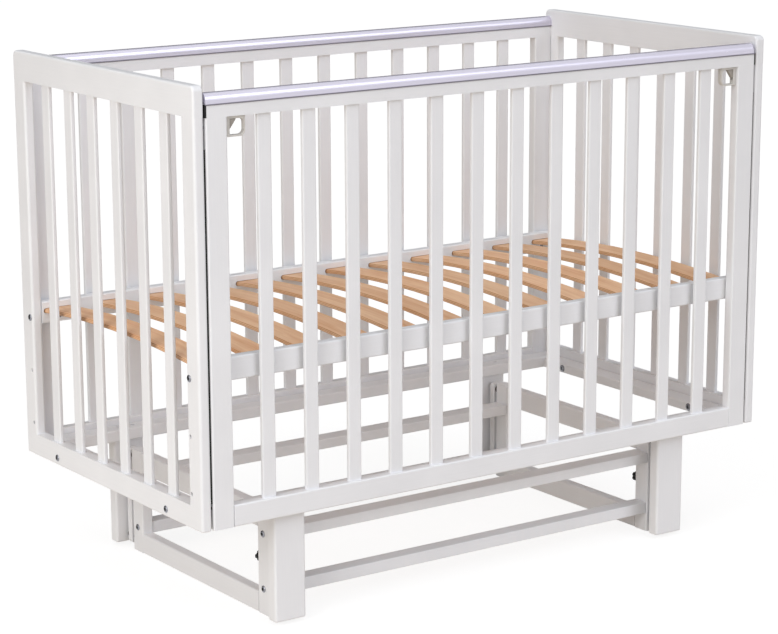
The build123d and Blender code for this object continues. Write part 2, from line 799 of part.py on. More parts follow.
def build_back(parts):
    centre_y = half_inside_y + board / 2
    slats = side_slat_set(centre_y)
    left = side_stile(half_inside_x, centre_y)
    bottom = side_bottom_rail(half_inside_x - stile, centre_y, slats)
    parts["back_top_rail"] = [side_top_rail(half_inside_x, centre_y, slats + [left] + flip_x([left]))]
    left -= bottom
    parts["back_stiles"] = [left] + flip_x([left])
    parts["back_bottom_rail"] = [bottom]
    parts["back_slats"] = slats
    parts["back_rail_cover"] = [back_cover()]


def build_drop_side(parts):
    outer_x = half_inside_x - side_gap
    rail_end = half_inside_x - rail_end_gap
    slats = side_slat_set(drop_centre_y)
    bottom = side_bottom_rail(outer_x - stile, drop_centre_y, slats)
    ring = latch_ring()
    left = drop_stile(bottom)
    pegs = [guide_peg(rail_end)] + flip_x([guide_peg(rail_end)])
    joints = slats + [left] + flip_x([left]) + pegs
    parts["drop_top_rail"] = [side_top_rail(rail_end, drop_centre_y, joints)]
    parts["drop_stiles"] = [left] + flip_x([left])
    parts["drop_bottom_rail"] = [bottom]
    parts["drop_slats"] = slats
    parts["drop_rail_cover"] = [drop_cover(rail_end)]
    track = guide_track(outer_x)
    parts["guide_tracks"] = [track] + flip_x([track])
    block = guide_block(rail_end)
    parts["guide_blocks"] = [block] + flip_x([block])
    parts["latch_rings"] = [ring] + flip_x([ring])
    spring = latch_spring()
    parts["latch_springs"] = [spring] + flip_x([spring])
    shank = latch_bolt()
    trigger = latch_trigger(shank)
    parts["latch_bolt_left"] = [shank]
    parts["latch_bolt_right"] = flip_x([shank])
    parts["latch_trigger_left"] = [trigger]
    parts["latch_trigger_right"] = flip_x([trigger])


def build_stand(parts):
    pivot = upper_pivot()
    sleeve = spacer((-link_y + link_thick / 2 + side_play, -post_y - post_deep / 2), upper_pivot_z, pivot)
    head_z = sum(head_bar_z) / 2
    foot_z = sum(foot_bar_z) / 2
    bolts = [stand_bolt(z) for z in (head_z, foot_z)]
    nuts = [
        stand_nut(head_z, bolts[0], head_bar_z[1] - head_bar_z[0]),
        stand_nut(foot_z, bolts[1], foot_bar_z[1] - foot_bar_z[0]),
    ]
    stud_room = round_rod((-hanger_x, -post_y - post_deep, knob_z), (0, 1, 0),
                          knob_stud_radius + knob_stud_play, 2 * post_deep)
    post = stand_post(bolts + [pivot, stand_tenons(), stud_room])
    posts = [post] + flip_x([post])
    foot = cross_rail((0, foot_rail_high), [], stand_tenons())
    head = cross_rail((head_rail_low, head_rail_high), [pivot] + flip_y([pivot]))
    fixings = bolts + nuts + flip_x(bolts + nuts)
    head_bar = stand_bar(head_bar_wide, head_bar_z, fixings)
    foot_bar = stand_bar(foot_bar_wide, foot_bar_z, fixings)
    parts["stand_posts"] = posts + flip_y(posts)
    parts["stand_foot_rails"] = [foot] + flip_x([foot])
    parts["stand_head_rails"] = [head] + flip_x([head])
    parts["stand_head_bars"] = [head_bar] + flip_y([head_bar])
    parts["stand_foot_bars"] = [foot_bar] + flip_y([foot_bar])
    corner_bolts = bolts + flip_x(bolts)
    corner_nuts = nuts + flip_x(nuts)
    parts["stand_bolts"] = corner_bolts + flip_y(corner_bolts)
    parts["stand_cross_nuts"] = corner_nuts + flip_y(corner_nuts)
    pivots = [pivot] + flip_x([pivot])
    sleeves = [sleeve] + flip_x([sleeve])
    parts["upper_pivot_screws"] = pivots + flip_y(pivots)
    parts["upper_pivot_spacers"] = sleeves + flip_y(sleeves)


def build_links(parts):
    arm = link()
    parts["link_front_left"] = [arm]
    parts["link_front_right"] = flip_x([arm])
    parts["link_back_left"] = flip_y([arm])
    parts["link_back_right"] = flip_x(flip_y([arm]))


def build_knobs(parts):
    stud = knob_stud()
    knob = lock_knob() - stud
    parts["lock_knob_left"] = [knob]
    parts["lock_knob_right"] = flip_x([knob])
    parts["lock_stud_left"] = [stud]
    parts["lock_stud_right"] = flip_x([stud])


def build_all():
    parts = {}
    build_ends(parts)
    build_ledgers(parts)
    build_bed(parts)
    build_back(parts)
    build_drop_side(parts)
    build_stand(parts)
    build_links(parts)
    build_knobs(parts)
    return parts


def solids_of(shapes):
    """Every solid of a node, one by one."""
    return [solid for shape in shapes for solid in shape.solids()]


os.makedirs("parts", exist_ok=True)
for node, shapes in build_all().items():
    export_step(Compound(children=solids_of(shapes)), "parts/" + node + ".step")
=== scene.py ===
# %% [markdown]
# # A slatted crib that sways on its own stand
#
# We dress a measured model of a baby's crib in Blender. The wooden frame comes from the CAD parts, which are right
# to the millimetre, so here we give it paint and wood, and model the small fittings that CAD keeps plain: bolt heads,
# latches, springs, knobs and the moulded rail covers. Units are metres, X runs along the crib, Y from the drop side to
# the back, and Z up from the floor.

import math

import bmesh
import bpy
from mathutils import Matrix, Vector


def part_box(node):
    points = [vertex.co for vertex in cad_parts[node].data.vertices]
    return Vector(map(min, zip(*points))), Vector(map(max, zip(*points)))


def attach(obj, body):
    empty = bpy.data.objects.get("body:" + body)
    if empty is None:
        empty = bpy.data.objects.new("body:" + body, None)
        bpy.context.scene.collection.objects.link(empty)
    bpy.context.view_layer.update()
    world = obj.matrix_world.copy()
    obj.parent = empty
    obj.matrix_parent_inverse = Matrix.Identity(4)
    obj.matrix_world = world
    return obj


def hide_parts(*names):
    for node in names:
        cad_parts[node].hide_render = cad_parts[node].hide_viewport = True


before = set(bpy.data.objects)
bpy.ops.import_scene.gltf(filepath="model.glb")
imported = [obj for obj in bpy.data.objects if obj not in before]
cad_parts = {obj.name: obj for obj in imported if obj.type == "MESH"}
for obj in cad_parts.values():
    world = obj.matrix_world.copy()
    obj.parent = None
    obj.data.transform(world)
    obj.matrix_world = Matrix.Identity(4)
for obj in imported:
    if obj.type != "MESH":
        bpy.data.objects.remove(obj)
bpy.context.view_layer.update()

# %% [markdown]
# ## Millimetres, colours and nodes
#
# A joiner thinks in millimetres and a paint chart in hex codes. Two one-line functions turn both into what Blender
# wants, and one function adds a shader node with its settings and its links. With those three, a material reads
# almost like a recipe.

# %% Small helpers for sizes, colours and nodes
def mm(*lengths):
    """Millimetres to metres, one number or several."""
    metres = [length / 1000 for length in lengths]
    return metres[0] if len(metres) == 1 else tuple(metres)


def hex_colour(code):
    """An sRGB hex code as linear red, green, blue and alpha."""
    parts = [int(code[place:place + 2], 16) / 255 for place in (1, 3, 5)]
    linear = [part / 12.92 if part <= 0.04045 else ((part + 0.055) / 1.055) ** 2.4 for part in parts]
    return (*linear, 1)


def add_node(tree, kind, settings=None, links=None):
    """Adds a node, sets its properties and its sockets by name, and links other nodes' outputs into it."""
    node = tree.nodes.new(kind)
    for key, value in (settings or {}).items():
        if isinstance(key, str) and hasattr(node, key):
            setattr(node, key, value)
        else:
            node.inputs[key].default_value = value
    for key, source in (links or {}).items():
        tree.links.new(source, node.inputs[key])
    return node


print("25 mm is", mm(25), "m, and mid grey is", round(hex_colour("#808080")[0], 3))

# %% [markdown]
# ## The camera
#
# The photograph was taken from well above the rail with a long lens, nearly five metres away. Its place comes from
# fitting the straight edges of the measured crib to the picture. A short way to aim it: face north, lower the lens,
# turn to the side, and lean by a quarter of a degree.

# %% Place the camera
camera_place = mm(-2686.5, -3831.3, 1483.0)
camera_turn = math.radians(34.838)
camera_dip = math.radians(13.701)
camera_lean = math.radians(-0.230)
lens_length = 116.88
lens_shift = (0.0009, 0.0647)

aim = (Matrix.Rotation(-camera_turn, 4, "Z") @ Matrix.Rotation(math.pi / 2 - camera_dip, 4, "X")
       @ Matrix.Rotation(camera_lean, 4, "Z"))
bpy.ops.object.camera_add(location=camera_place, rotation=aim.to_euler())
camera = bpy.context.active_object
camera.data.lens = lens_length
camera.data.shift_x, camera.data.shift_y = lens_shift
camera.data.clip_end = 50
bpy.context.scene.camera = camera
bpy.context.scene.view_settings.view_transform = "Standard"
print("camera is", round(camera.location.length, 2), "m from the middle of the floor")

# %% [markdown]
# ## A white studio
#
# Product photographs of white furniture use a white room: light comes from everywhere, a little more from above and
# from the left. A plain world gives the even part, and three wide suns give the faces of the wood their different
# tones. A sun is used in place of a lamp near the crib because it lights the whole floor equally, so the paper stays
# one white. The world and the floor look pure white to the camera and in reflections only.

# %% Light the room
studio_white = hex_colour("#FFFFFF")
room_light = 0.3


def white_room():
    """A world that lights the crib softly and looks white to the camera and in reflections."""
    world = bpy.data.worlds.new("white room")
    bpy.context.scene.world = world
    world.use_nodes = True
    tree = world.node_tree
    tree.nodes.clear()
    path = add_node(tree, "ShaderNodeLightPath")
    seen = add_node(tree, "ShaderNodeMath", {"operation": "MAXIMUM"},
                    {0: path.outputs["Is Camera Ray"], 1: path.outputs["Is Glossy Ray"]})
    seen = add_node(tree, "ShaderNodeMath", {"operation": "MAXIMUM"},
                    {0: seen.outputs[0], 1: path.outputs["Is Transmission Ray"]})
    glow = add_node(tree, "ShaderNodeBackground", {"Color": hex_colour("#FFFDFA"), "Strength": room_light})
    backdrop = add_node(tree, "ShaderNodeBackground", {"Color": studio_white, "Strength": 1.0})
    mix = add_node(tree, "ShaderNodeMixShader", {},
                   {0: seen.outputs[0], 1: glow.outputs[0], 2: backdrop.outputs[0]})
    add_node(tree, "ShaderNodeOutputWorld", {}, {"Surface": mix.outputs[0]})


def wide_sun(name, comes_from, strength, spread, colour):
    """A sun with a wide soft disc, aimed at the crib from a direction."""
    aim = Vector(comes_from).to_track_quat("Z", "Y").to_euler()
    bpy.ops.object.light_add(type="SUN", location=Vector(comes_from), rotation=aim)
    light = bpy.context.active_object
    light.name = name
    light.data.energy = strength
    light.data.angle = math.radians(spread)
    light.data.color = hex_colour(colour)[:3]


white_room()
wide_sun("sun_left", (-3.0, -1.3, 1.5), 0.82, 50, "#FFFFFF")
wide_sun("sun_front", (0.9, -3.0, 1.6), 1.04, 45, "#EEF3FF")
wide_sun("sun_above", (-0.4, -0.3, 3.0), 0.8, 70, "#FFFFFF")
print("room light", room_light, "and three suns")

# %% [markdown]
# ## A soft box and black cards
#
# Near the left end stands a soft box. Its light fades with distance, so the near end frame is the brightest part and
# the far inside of the crib falls off into a warm grey. Behind the crib and to its right stand black cards that only
# mirror-like reflections see. Photographers place such cards to give shiny things a dark rim, and here they draw the
# thin dark line along the top of the silver rails and the dark side of each bolt.

# %% Set the soft box and the black cards
box_place = (-2.7, -0.9, 1.2)
box_wide = 1.4
box_watts = 19
card_high = 3.6
box_aim = Vector((-2.0, -0.9, 0.6)).to_track_quat("Z", "Y").to_euler()
bpy.ops.object.light_add(type="AREA", location=box_place, rotation=box_aim)
soft_box = bpy.context.active_object
soft_box.name = "soft_box_left"
soft_box.data.size = box_wide
soft_box.data.energy = box_watts

# Near-black matt card: a dark rim in whatever mirrors it.
card_black = bpy.data.materials.new("black card")
card_black.use_nodes = True
card_black.node_tree.nodes["Principled BSDF"].inputs["Base Color"].default_value = hex_colour("#1E1C22")


def black_card(name, place, turn, wide):
    """An upright black card that only reflections see."""
    bpy.ops.mesh.primitive_plane_add(size=1, location=place, rotation=(math.pi / 2, 0, turn))
    card = bpy.context.active_object
    card.name = name
    card.scale = (wide, card_high, 1)
    card.visible_camera = card.visible_diffuse = card.visible_transmission = card.visible_shadow = False
    card.data.materials.append(card_black)


black_card("black_card_behind", (0.6, 1.7, card_high / 2), 0, 6)
black_card("black_card_right", (3.6, 0, card_high / 2), math.pi / 2, 3.4)
print("two black cards,", card_high, "m high")

# %% Lay the floor
floor_wide = 30
shadow_share = 0.18
paper_level = 1.45
bpy.ops.mesh.primitive_plane_add(size=floor_wide, location=(0, 0, 0))
floor = bpy.context.active_object
floor.name = "studio_floor"


def floor_paper():
    """White paper that lights the crib from below as paper does, and shows the camera a softened shadow."""
    paper = bpy.data.materials.new("white floor paper")
    paper.use_nodes = True
    tree = paper.node_tree
    tree.nodes.clear()
    path = add_node(tree, "ShaderNodeLightPath")
    seen = add_node(tree, "ShaderNodeMath", {"operation": "MAXIMUM"},
                    {0: path.outputs["Is Camera Ray"], 1: path.outputs["Is Glossy Ray"]})
    lit = add_node(tree, "ShaderNodeBsdfDiffuse", {"Color": (paper_level, paper_level, paper_level, 1)})
    bright = add_node(tree, "ShaderNodeEmission", {"Color": studio_white, "Strength": 1.0})
    shown = add_node(tree, "ShaderNodeMixShader", {0: shadow_share}, {1: bright.outputs[0], 2: lit.outputs[0]})
    matt = add_node(tree, "ShaderNodeBsdfDiffuse", {"Color": hex_colour("#D6C9B9")})
    mix = add_node(tree, "ShaderNodeMixShader", {},
                   {0: seen.outputs[0], 1: matt.outputs[0], 2: shown.outputs[0]})
    add_node(tree, "ShaderNodeOutputMaterial", {}, {"Surface": mix.outputs[0]})
    return paper


floor.data.materials.append(floor_paper())
print("floor paper keeps", shadow_share, "of the shadow")

# %% [markdown]
# ## White lacquered wood
#
# The frame is hardwood under sprayed white lacquer with a satin finish. Such lacquer is never quite even: the grain
# below shows as faint lines along each board, and the sprayed film has a very fine orange peel. The grain runs along
# a board, so there are three versions of the material, one for each direction. All read object coordinates, which
# are real metres here, so a pattern's scale follows from a size in millimetres.

# %% Paint for boards that run along X, Y or Z
grain_width = mm(2.6)
grain_stretch = 0.035
peel_size = mm(1.3)
tone_patch = mm(120)


def white_lacquer(along):
    """Satin white lacquer over wood whose grain runs along one axis."""
    paint = bpy.data.materials.new("satin white lacquer, grain along " + along)
    paint.use_nodes = True
    tree = paint.node_tree
    body = tree.nodes["Principled BSDF"]
    place = add_node(tree, "ShaderNodeTexCoord")
    stretch = [grain_stretch if axis == along else 1 for axis in "XYZ"]
    grain_place = add_node(tree, "ShaderNodeMapping", {"Scale": stretch}, {"Vector": place.outputs["Object"]})
    grain = add_node(tree, "ShaderNodeTexNoise", {"Scale": 1 / grain_width, "Detail": 3, "Roughness": 0.55},
                     {"Vector": grain_place.outputs[0]})
    patch = add_node(tree, "ShaderNodeTexNoise", {"Scale": 1 / tone_patch, "Detail": 2},
                     {"Vector": place.outputs["Object"]})
    both = add_node(tree, "ShaderNodeMath", {"operation": "MULTIPLY_ADD", 1: 0.45},
                    {0: grain.outputs["Fac"], 2: patch.outputs["Fac"]})
    tone = add_node(tree, "ShaderNodeValToRGB", {}, {"Fac": both.outputs[0]})
    tone.color_ramp.elements[0].position = 0.45
    tone.color_ramp.elements[0].color = hex_colour("#E6E7EA")
    tone.color_ramp.elements[1].position = 1.0
    tone.color_ramp.elements[1].color = hex_colour("#ECEDF0")
    tree.links.new(tone.outputs["Color"], body.inputs["Base Color"])
    gloss = add_node(tree, "ShaderNodeMapRange", {"To Min": 0.36, "To Max": 0.46}, {"Value": patch.outputs["Fac"]})
    tree.links.new(gloss.outputs[0], body.inputs["Roughness"])
    peel = add_node(tree, "ShaderNodeTexNoise", {"Scale": 1 / peel_size, "Detail": 1},
                    {"Vector": place.outputs["Object"]})
    ridges = add_node(tree, "ShaderNodeBump", {"Strength": 0.25, "Distance": mm(0.12)},
                      {"Height": grain.outputs["Fac"]})
    film = add_node(tree, "ShaderNodeBump", {"Strength": 0.15, "Distance": mm(0.05)},
                    {"Height": peel.outputs["Fac"], "Normal": ridges.outputs[0]})
    tree.links.new(film.outputs[0], body.inputs["Normal"])
    body.inputs["IOR"].default_value = 1.5
    return paint


lacquer = {along: white_lacquer(along) for along in "XYZ"}
boards = {
    "X": ["back_top_rail", "back_bottom_rail", "drop_top_rail", "drop_bottom_rail", "ledger_front", "ledger_back",
          "bed_rail_front", "bed_rail_back", "stand_head_bars", "stand_foot_bars"],
    "Y": ["end_left_top_rail", "end_left_bottom_rail", "end_right_top_rail", "end_right_bottom_rail", "end_ledgers",
          "stand_foot_rails", "stand_head_rails"],
    "Z": ["end_left_posts", "end_left_slats", "end_right_posts", "end_right_slats", "back_stiles", "back_slats",
          "drop_stiles", "drop_slats", "hanging_boards_front", "hanging_boards_back", "stand_posts",
          "link_front_left", "link_front_right", "link_back_left", "link_back_right"],
}


def finish(node, material):
    """Gives a measured part its material and leaves its shape alone."""
    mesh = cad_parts[node].data
    mesh.materials.clear()
    mesh.materials.append(material)


for along, names in boards.items():
    for name in names:
        finish(name, lacquer[along])
print("painted", sum(len(names) for names in boards.values()), "kinds of board")

# %% [markdown]
# ## Bent birch for the lamellas
#
# The bed base is made of lamellas: thin birch veneers glued in a bent mould and cut into strips. From above they show
# long fine grain, and on the cut edges the layers appear as thin stripes that follow the bend. The distance of a
# point from the axis of the bend tells which layer it is in, so a little circle geometry draws the stripes exactly.

# %% Birch plywood that follows the bend
lamella_half_span = mm(289)
lamella_crown = mm(15)
lamella_thick = mm(8)
lamella_pitch = mm(104)
bend_radius = (lamella_half_span ** 2 + lamella_crown ** 2) / (2 * lamella_crown)
lamella_low, lamella_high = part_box("bed_lamellas")
bend_axis_height = lamella_high.z - bend_radius - lamella_thick / 2
ply_thick = mm(1.3)


def bent_birch():
    """Clear satin lacquer on birch, grain along Y, with ply lines at constant distance from the bend's axis."""
    wood = bpy.data.materials.new("bent birch plywood, clear satin lacquer")
    wood.use_nodes = True
    tree = wood.node_tree
    body = tree.nodes["Principled BSDF"]
    place = add_node(tree, "ShaderNodeTexCoord")
    split = add_node(tree, "ShaderNodeSeparateXYZ", {}, {0: place.outputs["Object"]})
    strip = add_node(tree, "ShaderNodeMath", {"operation": "DIVIDE", 1: lamella_pitch}, {0: split.outputs["X"]})
    strip = add_node(tree, "ShaderNodeMath", {"operation": "FLOOR"}, {0: strip.outputs[0]})
    luck = add_node(tree, "ShaderNodeTexWhiteNoise", {"noise_dimensions": "1D"}, {"W": strip.outputs[0]})
    shift = add_node(tree, "ShaderNodeVectorMath", {"operation": "MULTIPLY_ADD", 1: (3, 3, 3)},
                     {0: luck.outputs["Color"], 2: place.outputs["Object"]})
    along = add_node(tree, "ShaderNodeMapping", {"Scale": (1, 0.03, 1)}, {"Vector": shift.outputs[0]})
    grain = add_node(tree, "ShaderNodeTexNoise", {"Scale": 1 / mm(3), "Detail": 5, "Roughness": 0.6},
                     {"Vector": along.outputs[0]})
    broad = add_node(tree, "ShaderNodeTexNoise", {"Scale": 1 / mm(16), "Detail": 2, "Distortion": 0.6},
                     {"Vector": along.outputs[0]})
    tone = add_node(tree, "ShaderNodeMath", {"operation": "MULTIPLY_ADD", 1: 0.55},
                    {0: grain.outputs["Fac"], 2: broad.outputs["Fac"]})
    colour = add_node(tree, "ShaderNodeValToRGB", {}, {"Fac": tone.outputs[0]})
    colour.color_ramp.elements[0].position = 0.5
    colour.color_ramp.elements[0].color = hex_colour("#DFA87C")
    colour.color_ramp.elements[1].position = 1.0
    colour.color_ramp.elements[1].color = hex_colour("#F5CCA6")
    strip_tone = add_node(tree, "ShaderNodeMapRange", {"To Min": 0.93, "To Max": 1.06},
                          {"Value": luck.outputs["Value"]})
    toned = add_node(tree, "ShaderNodeVectorMath", {"operation": "SCALE"},
                     {0: colour.outputs["Color"], "Scale": strip_tone.outputs[0]})
    height = add_node(tree, "ShaderNodeMath", {"operation": "SUBTRACT", 1: bend_axis_height}, {0: split.outputs["Z"]})
    flat = add_node(tree, "ShaderNodeCombineXYZ", {}, {"Y": split.outputs["Y"], "Z": height.outputs[0]})
    radius = add_node(tree, "ShaderNodeVectorMath", {"operation": "LENGTH"}, {0: flat.outputs[0]})
    layer = add_node(tree, "ShaderNodeMath", {"operation": "DIVIDE", 1: 2 * ply_thick}, {0: radius.outputs["Value"]})
    layer = add_node(tree, "ShaderNodeMath", {"operation": "FRACT"}, {0: layer.outputs[0]})
    dark_ply = add_node(tree, "ShaderNodeMath", {"operation": "GREATER_THAN", 1: 0.5}, {0: layer.outputs[0]})
    facing = add_node(tree, "ShaderNodeNewGeometry")
    side = add_node(tree, "ShaderNodeSeparateXYZ", {}, {0: facing.outputs["True Normal"]})
    side = add_node(tree, "ShaderNodeMath", {"operation": "ABSOLUTE"}, {0: side.outputs["X"]})
    side = add_node(tree, "ShaderNodeMath", {"operation": "GREATER_THAN", 1: 0.6}, {0: side.outputs[0]})
    stripes = add_node(tree, "ShaderNodeMath", {"operation": "MULTIPLY"}, {0: dark_ply.outputs[0], 1: side.outputs[0]})
    stripes = add_node(tree, "ShaderNodeMath", {"operation": "MULTIPLY", 1: 0.7}, {0: stripes.outputs[0]})
    edge = add_node(tree, "ShaderNodeMix", {"data_type": "RGBA", "blend_type": "MIX"},
                    {"Factor": stripes.outputs[0], 6: toned.outputs[0]})
    edge.inputs[7].default_value = hex_colour("#A87646")
    tree.links.new(edge.outputs[2], body.inputs["Base Color"])
    bump = add_node(tree, "ShaderNodeBump", {"Strength": 0.3, "Distance": mm(0.15)}, {"Height": grain.outputs["Fac"]})
    tree.links.new(bump.outputs[0], body.inputs["Normal"])
    body.inputs["Roughness"].default_value = 0.5
    body.inputs["IOR"].default_value = 1.48
    return wood


birch = bent_birch()
finish("bed_lamellas", birch)
print("bend radius", round(bend_radius, 3), "m")

# %% [markdown]
# ## Plastics and metals
#
# The fittings need seven more finishes, and one recipe makes them all: a colour, a gloss and a fine texture. They
# differ in how they answer the white room and the black cards. The film on the rails mirrors both softly, zinc
# mirrors them sharply, nylon swallows light, and the latch rings let a little of it through.

# %% Plastic and metal finishes
def plain_finish(name, colour, roughness, metallic=0.0, texture_size=mm(0.9), texture_depth=mm(0.03), stretch=(1, 1, 1),
                 spread=0.06):
    """A one-colour finish with a fine surface texture and slightly uneven gloss."""
    made = bpy.data.materials.new(name)
    made.use_nodes = True
    tree = made.node_tree
    body = tree.nodes["Principled BSDF"]
    place = add_node(tree, "ShaderNodeTexCoord")
    laid = add_node(tree, "ShaderNodeMapping", {"Scale": stretch}, {"Vector": place.outputs["Object"]})
    skin = add_node(tree, "ShaderNodeTexNoise", {"Scale": 1 / texture_size, "Detail": 2}, {"Vector": laid.outputs[0]})
    tone = add_node(tree, "ShaderNodeMapRange", {"To Min": 1 - spread / 2, "To Max": 1 + spread / 2},
                    {"Value": skin.outputs["Fac"]})
    coloured = add_node(tree, "ShaderNodeVectorMath", {"operation": "SCALE", 0: hex_colour(colour)[:3]},
                        {"Scale": tone.outputs[0]})
    tree.links.new(coloured.outputs[0], body.inputs["Base Color"])
    gloss = add_node(tree, "ShaderNodeMapRange", {"To Min": roughness - 0.05, "To Max": roughness + 0.05},
                     {"Value": skin.outputs["Fac"]})
    tree.links.new(gloss.outputs[0], body.inputs["Roughness"])
    bump = add_node(tree, "ShaderNodeBump", {"Strength": 0.4, "Distance": texture_depth},
                    {"Height": skin.outputs["Fac"]})
    tree.links.new(bump.outputs[0], body.inputs["Normal"])
    body.inputs["Metallic"].default_value = metallic
    return made


# A soft metallic sheen with a cool lilac cast, brushed finely along the rail.
silver_film = plain_finish("extruded PVC cover, silver-lilac film", "#D3D0DF", 0.25, metallic=0.6,
                           texture_size=mm(1.2), texture_depth=mm(0.02), stretch=(0.01, 1, 1))
# A dull dark lilac grey on the cover's lip: painted shade that draws the shadow line under the cover.
shadow_line_paint = plain_finish("cover lip painted dark lilac grey as shadow line", "#74717D", 0.5)
# Deep black with hardly any shine.
black_nylon = plain_finish("moulded black nylon", "#070708", 0.5)
black_nylon.node_tree.nodes["Principled BSDF"].inputs["Specular IOR Level"].default_value = 0.3
# A cool grey mirror, slightly blurred: bright on one side of a bolt and dark on the other.
zinc_plate = plain_finish("bright zinc plate", "#929398", 0.22, metallic=1.0, texture_size=mm(1.5))
# Nearly black, as painted shade on the walls of a bolt's socket, so that the socket reads as a hole.
painted_socket_shade = plain_finish("painted shade in a bolt's socket", "#2B2A2B", 0.4, metallic=0.6)
# A muted grey-brown that sets the trigger off from its ring.
trigger_grey = plain_finish("grey-brown moulded acetal", "#9C968E", 0.4)
# Pale and a little milky, with light coming through its thin walls.
latch_grey = plain_finish("pale grey moulded polypropylene", "#DFDCD7", 0.34)
latch_grey.node_tree.nodes["Principled BSDF"].inputs["Transmission Weight"].default_value = 0.25
for name in ("guide_tracks", "guide_blocks", "guide_pins", "upper_pivot_spacers", "lower_pivot_spacers",
             "lock_knob_left", "lock_knob_right"):
    finish(name, black_nylon)
for name in ("stand_bolts", "stand_cross_nuts", "upper_pivot_screws", "lower_pivot_screws", "bed_bolts",
             "bed_cross_nuts", "ledger_bolts", "ledger_sleeve_nuts", "hanger_bolts", "latch_springs",
             "latch_bolt_left", "latch_bolt_right", "lock_stud_left", "lock_stud_right"):
    finish(name, zinc_plate)
for name in ("latch_rings", "latch_trigger_left", "latch_trigger_right"):
    finish(name, latch_grey)
for name in ("drop_rail_cover", "back_rail_cover"):
    finish(name, silver_film)
print("finished every measured part")

# %% [markdown]
# ## Working by hand in edit mode
#
# Every fitting below starts as a primitive, and is then pushed and bevelled as one would do with the mouse.
# An operator works on what is selected, so we first need a way to say which faces or edges: by their place or the
# way they face. The other helpers turn a piece on the lathe, round its edges, and lay copies where they belong.

# %% Select, shape and copy
def all_off():
    """Nothing selected, ready for a new primitive."""
    if bpy.context.mode != "OBJECT":
        bpy.ops.object.mode_set(mode="OBJECT")
    bpy.ops.object.select_all(action="DESELECT")


def take(piece):
    """Makes one piece the only selected and active one."""
    all_off()
    piece.select_set(True)
    bpy.context.view_layer.objects.active = piece


def pick(kind, wanted):
    """In edit mode, selects the faces or edges that pass a test and nothing else."""
    mesh = bmesh.from_edit_mesh(bpy.context.edit_object.data)
    bpy.ops.mesh.select_mode(type="FACE" if kind == "faces" else "EDGE")
    bpy.ops.mesh.select_all(action="DESELECT")
    for item in getattr(mesh, kind):
        item.select_set(bool(wanted(item)))
    mesh.select_flush_mode()
    bmesh.update_edit_mesh(bpy.context.edit_object.data)


def block(name, low, high):
    """A box between two corners, given in metres, to be shaped further."""
    all_off()
    middle = [(a + b) / 2 for a, b in zip(low, high)]
    size = [b - a for a, b in zip(low, high)]
    bpy.ops.mesh.primitive_cube_add(size=1, location=middle, scale=size)
    bpy.ops.object.transform_apply(location=True, rotation=True, scale=True)
    piece = bpy.context.active_object
    piece.name = name
    return piece


def turn_on_lathe(name, rings, sides=40):
    """A turned piece standing on Z: a disc is extruded ring by ring, each with its radius and height."""
    all_off()
    radius, height = rings[0]
    bpy.ops.mesh.primitive_circle_add(vertices=sides, radius=radius, fill_type="NGON", location=(0, 0, height))
    bpy.ops.object.transform_apply(location=True, rotation=True, scale=True)
    piece = bpy.context.active_object
    piece.name = name
    bpy.ops.object.mode_set(mode="EDIT")
    for next_radius, next_height in rings[1:]:
        rise = next_height - height
        share = next_radius / radius
        bpy.ops.mesh.extrude_region_move(TRANSFORM_OT_translate={"value": (0, 0, rise)})
        bpy.ops.transform.resize(value=(share, share, 1), center_override=(0, 0, next_height))
        radius, height = next_radius, next_height
    bpy.ops.mesh.select_all(action="SELECT")
    bpy.ops.mesh.normals_make_consistent(inside=False)
    bpy.ops.object.mode_set(mode="OBJECT")
    return piece


def apply_modifier(piece, kind, **settings):
    """Adds a modifier with its settings and applies it."""
    take(piece)
    modifier = piece.modifiers.new(kind.lower(), kind)
    for key, value in settings.items():
        setattr(modifier, key, value)
    bpy.ops.object.modifier_apply(modifier=modifier.name)


def cut_away(piece, tool):
    """Takes a tool's shape out of a piece and removes the tool."""
    apply_modifier(piece, "BOOLEAN", operation="DIFFERENCE", object=tool, solver="EXACT")
    bpy.data.objects.remove(tool)


def soften(piece, width, segments=3, angle=30):
    """Rounds the sharp edges of a piece and shades it smoothly."""
    apply_modifier(piece, "BEVEL", width=width, segments=segments, limit_method="ANGLE",
                   angle_limit=math.radians(angle), harden_normals=False)
    take(piece)
    bpy.ops.object.shade_smooth_by_angle(angle=math.radians(35))


def joined(parts):
    """Joins parts into the first of them and returns it."""
    all_off()
    for part in parts:
        part.select_set(True)
    bpy.context.view_layer.objects.active = parts[0]
    if len(parts) > 1:
        bpy.ops.object.join()
    return bpy.context.active_object


def paint(piece, material):
    """One material all over a new piece."""
    piece.data.materials.clear()
    piece.data.materials.append(material)


def lay_copies(pattern, name, places):
    """Copies of one pattern piece, each moved by a matrix, joined into one piece under one name."""
    copies = []
    for place in places:
        copy = pattern.copy()
        copy.data = pattern.data.copy()
        bpy.context.scene.collection.objects.link(copy)
        copy.data.transform(place)
        if place.determinant() < 0:
            copy.data.flip_normals()
        copies.append(copy)
    whole = joined(copies)
    whole.name = name
    whole.data.name = name
    return whole


def stand_in(piece, body, slot, *nodes):
    """Says which body a new piece rides on and the measured parts that it replaces; the slot is not used."""
    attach(piece, body)
    if nodes:
        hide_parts(*nodes)
    size = [round(length * 1000, 1) for length in piece.dimensions]
    print(piece.name, "is", size, "mm, with", len(piece.data.polygons), "faces")


mirror_x = Matrix.Scale(-1, 4, (1, 0, 0))
mirror_y = Matrix.Scale(-1, 4, (0, 1, 0))

# %% [markdown]
# ## Button-head bolts
#
# All joints that can be taken apart use furniture bolts: a low dome with a hexagon socket. The dome is turned on the
# lathe in a few rings that follow a circle, the socket is a boolean cut with a six-sided prism, and its walls get a
# nearly black colour as painted shade, so that they read as a hole. One bolt is modelled upright and copied to all its
# places.

# %% Turn one bolt and cut its socket
head_radius = mm(6.3)
head_high = mm(2.5)
dome_rings = 6
socket_radius = mm(3.2)
socket_deep = mm(1.7)


